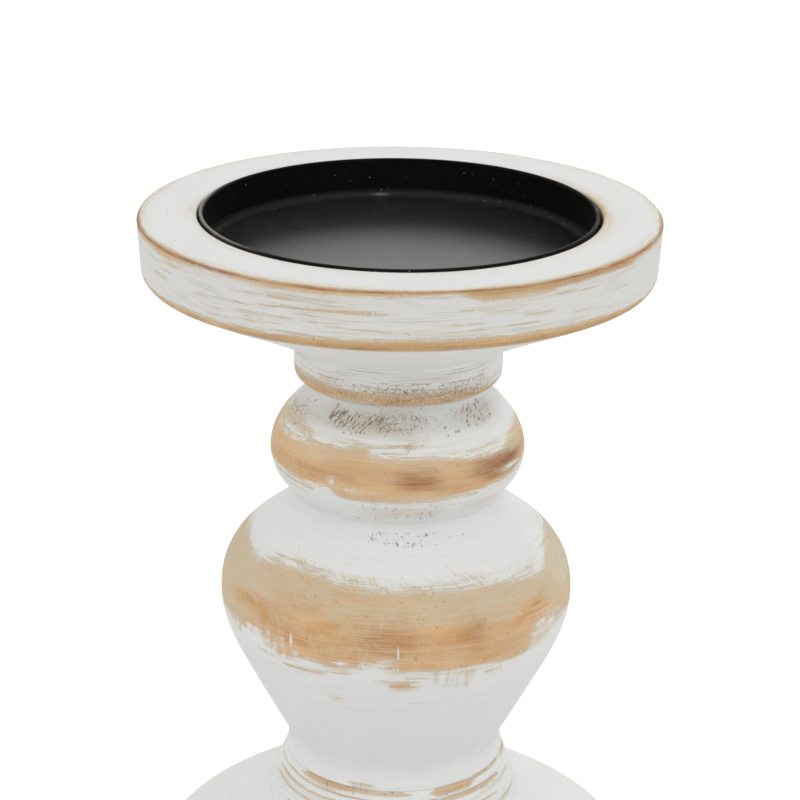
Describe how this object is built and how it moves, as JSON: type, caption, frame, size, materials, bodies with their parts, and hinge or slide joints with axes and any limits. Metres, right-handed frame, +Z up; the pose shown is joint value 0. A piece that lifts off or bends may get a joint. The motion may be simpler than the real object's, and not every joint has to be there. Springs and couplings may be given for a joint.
{
  "type": "candlestick",
  "caption": "Turned wooden pillar candlestick: round plate with a lift-out steel cup on a bead-and-urn column over a cushion base.",
  "frame": {"origin": "centre of the resting plane, under the felt disc", "axes": "+Z up along the turning axis; +X to the right and +Y away from a viewer at the front"},
  "size_m": [0.127, 0.127, 0.2032],
  "materials": {
    "painted_wood": "brushed off-white paint, rubbed through to brown wood on edges and on bands round the turning",
    "cup_black": "satin black coating on pressed steel",
    "felt": "pressed wool felt, matt",
    "zinc_steel": "zinc-plated steel"
  },
  "bodies": {
    "stand": {"top_plate": "painted_wood", "neck_collar": "painted_wood", "neck_bead": "painted_wood", "vase_body": "painted_wood", "neck_ring": "painted_wood", "base": "painted_wood", "base_felt": "felt", "tie_rod": "zinc_steel", "tie_rod_washers": "zinc_steel", "tie_rod_nuts": "zinc_steel"},
    "cup": {"candle_cup": "cup_black"}
  },
  "joints": [
    {"name": "cup_lift", "type": "slide", "parent": "stand", "child": "cup", "axis": [0, 0, 1], "range_m": [0, 0.04]}
  ]
}
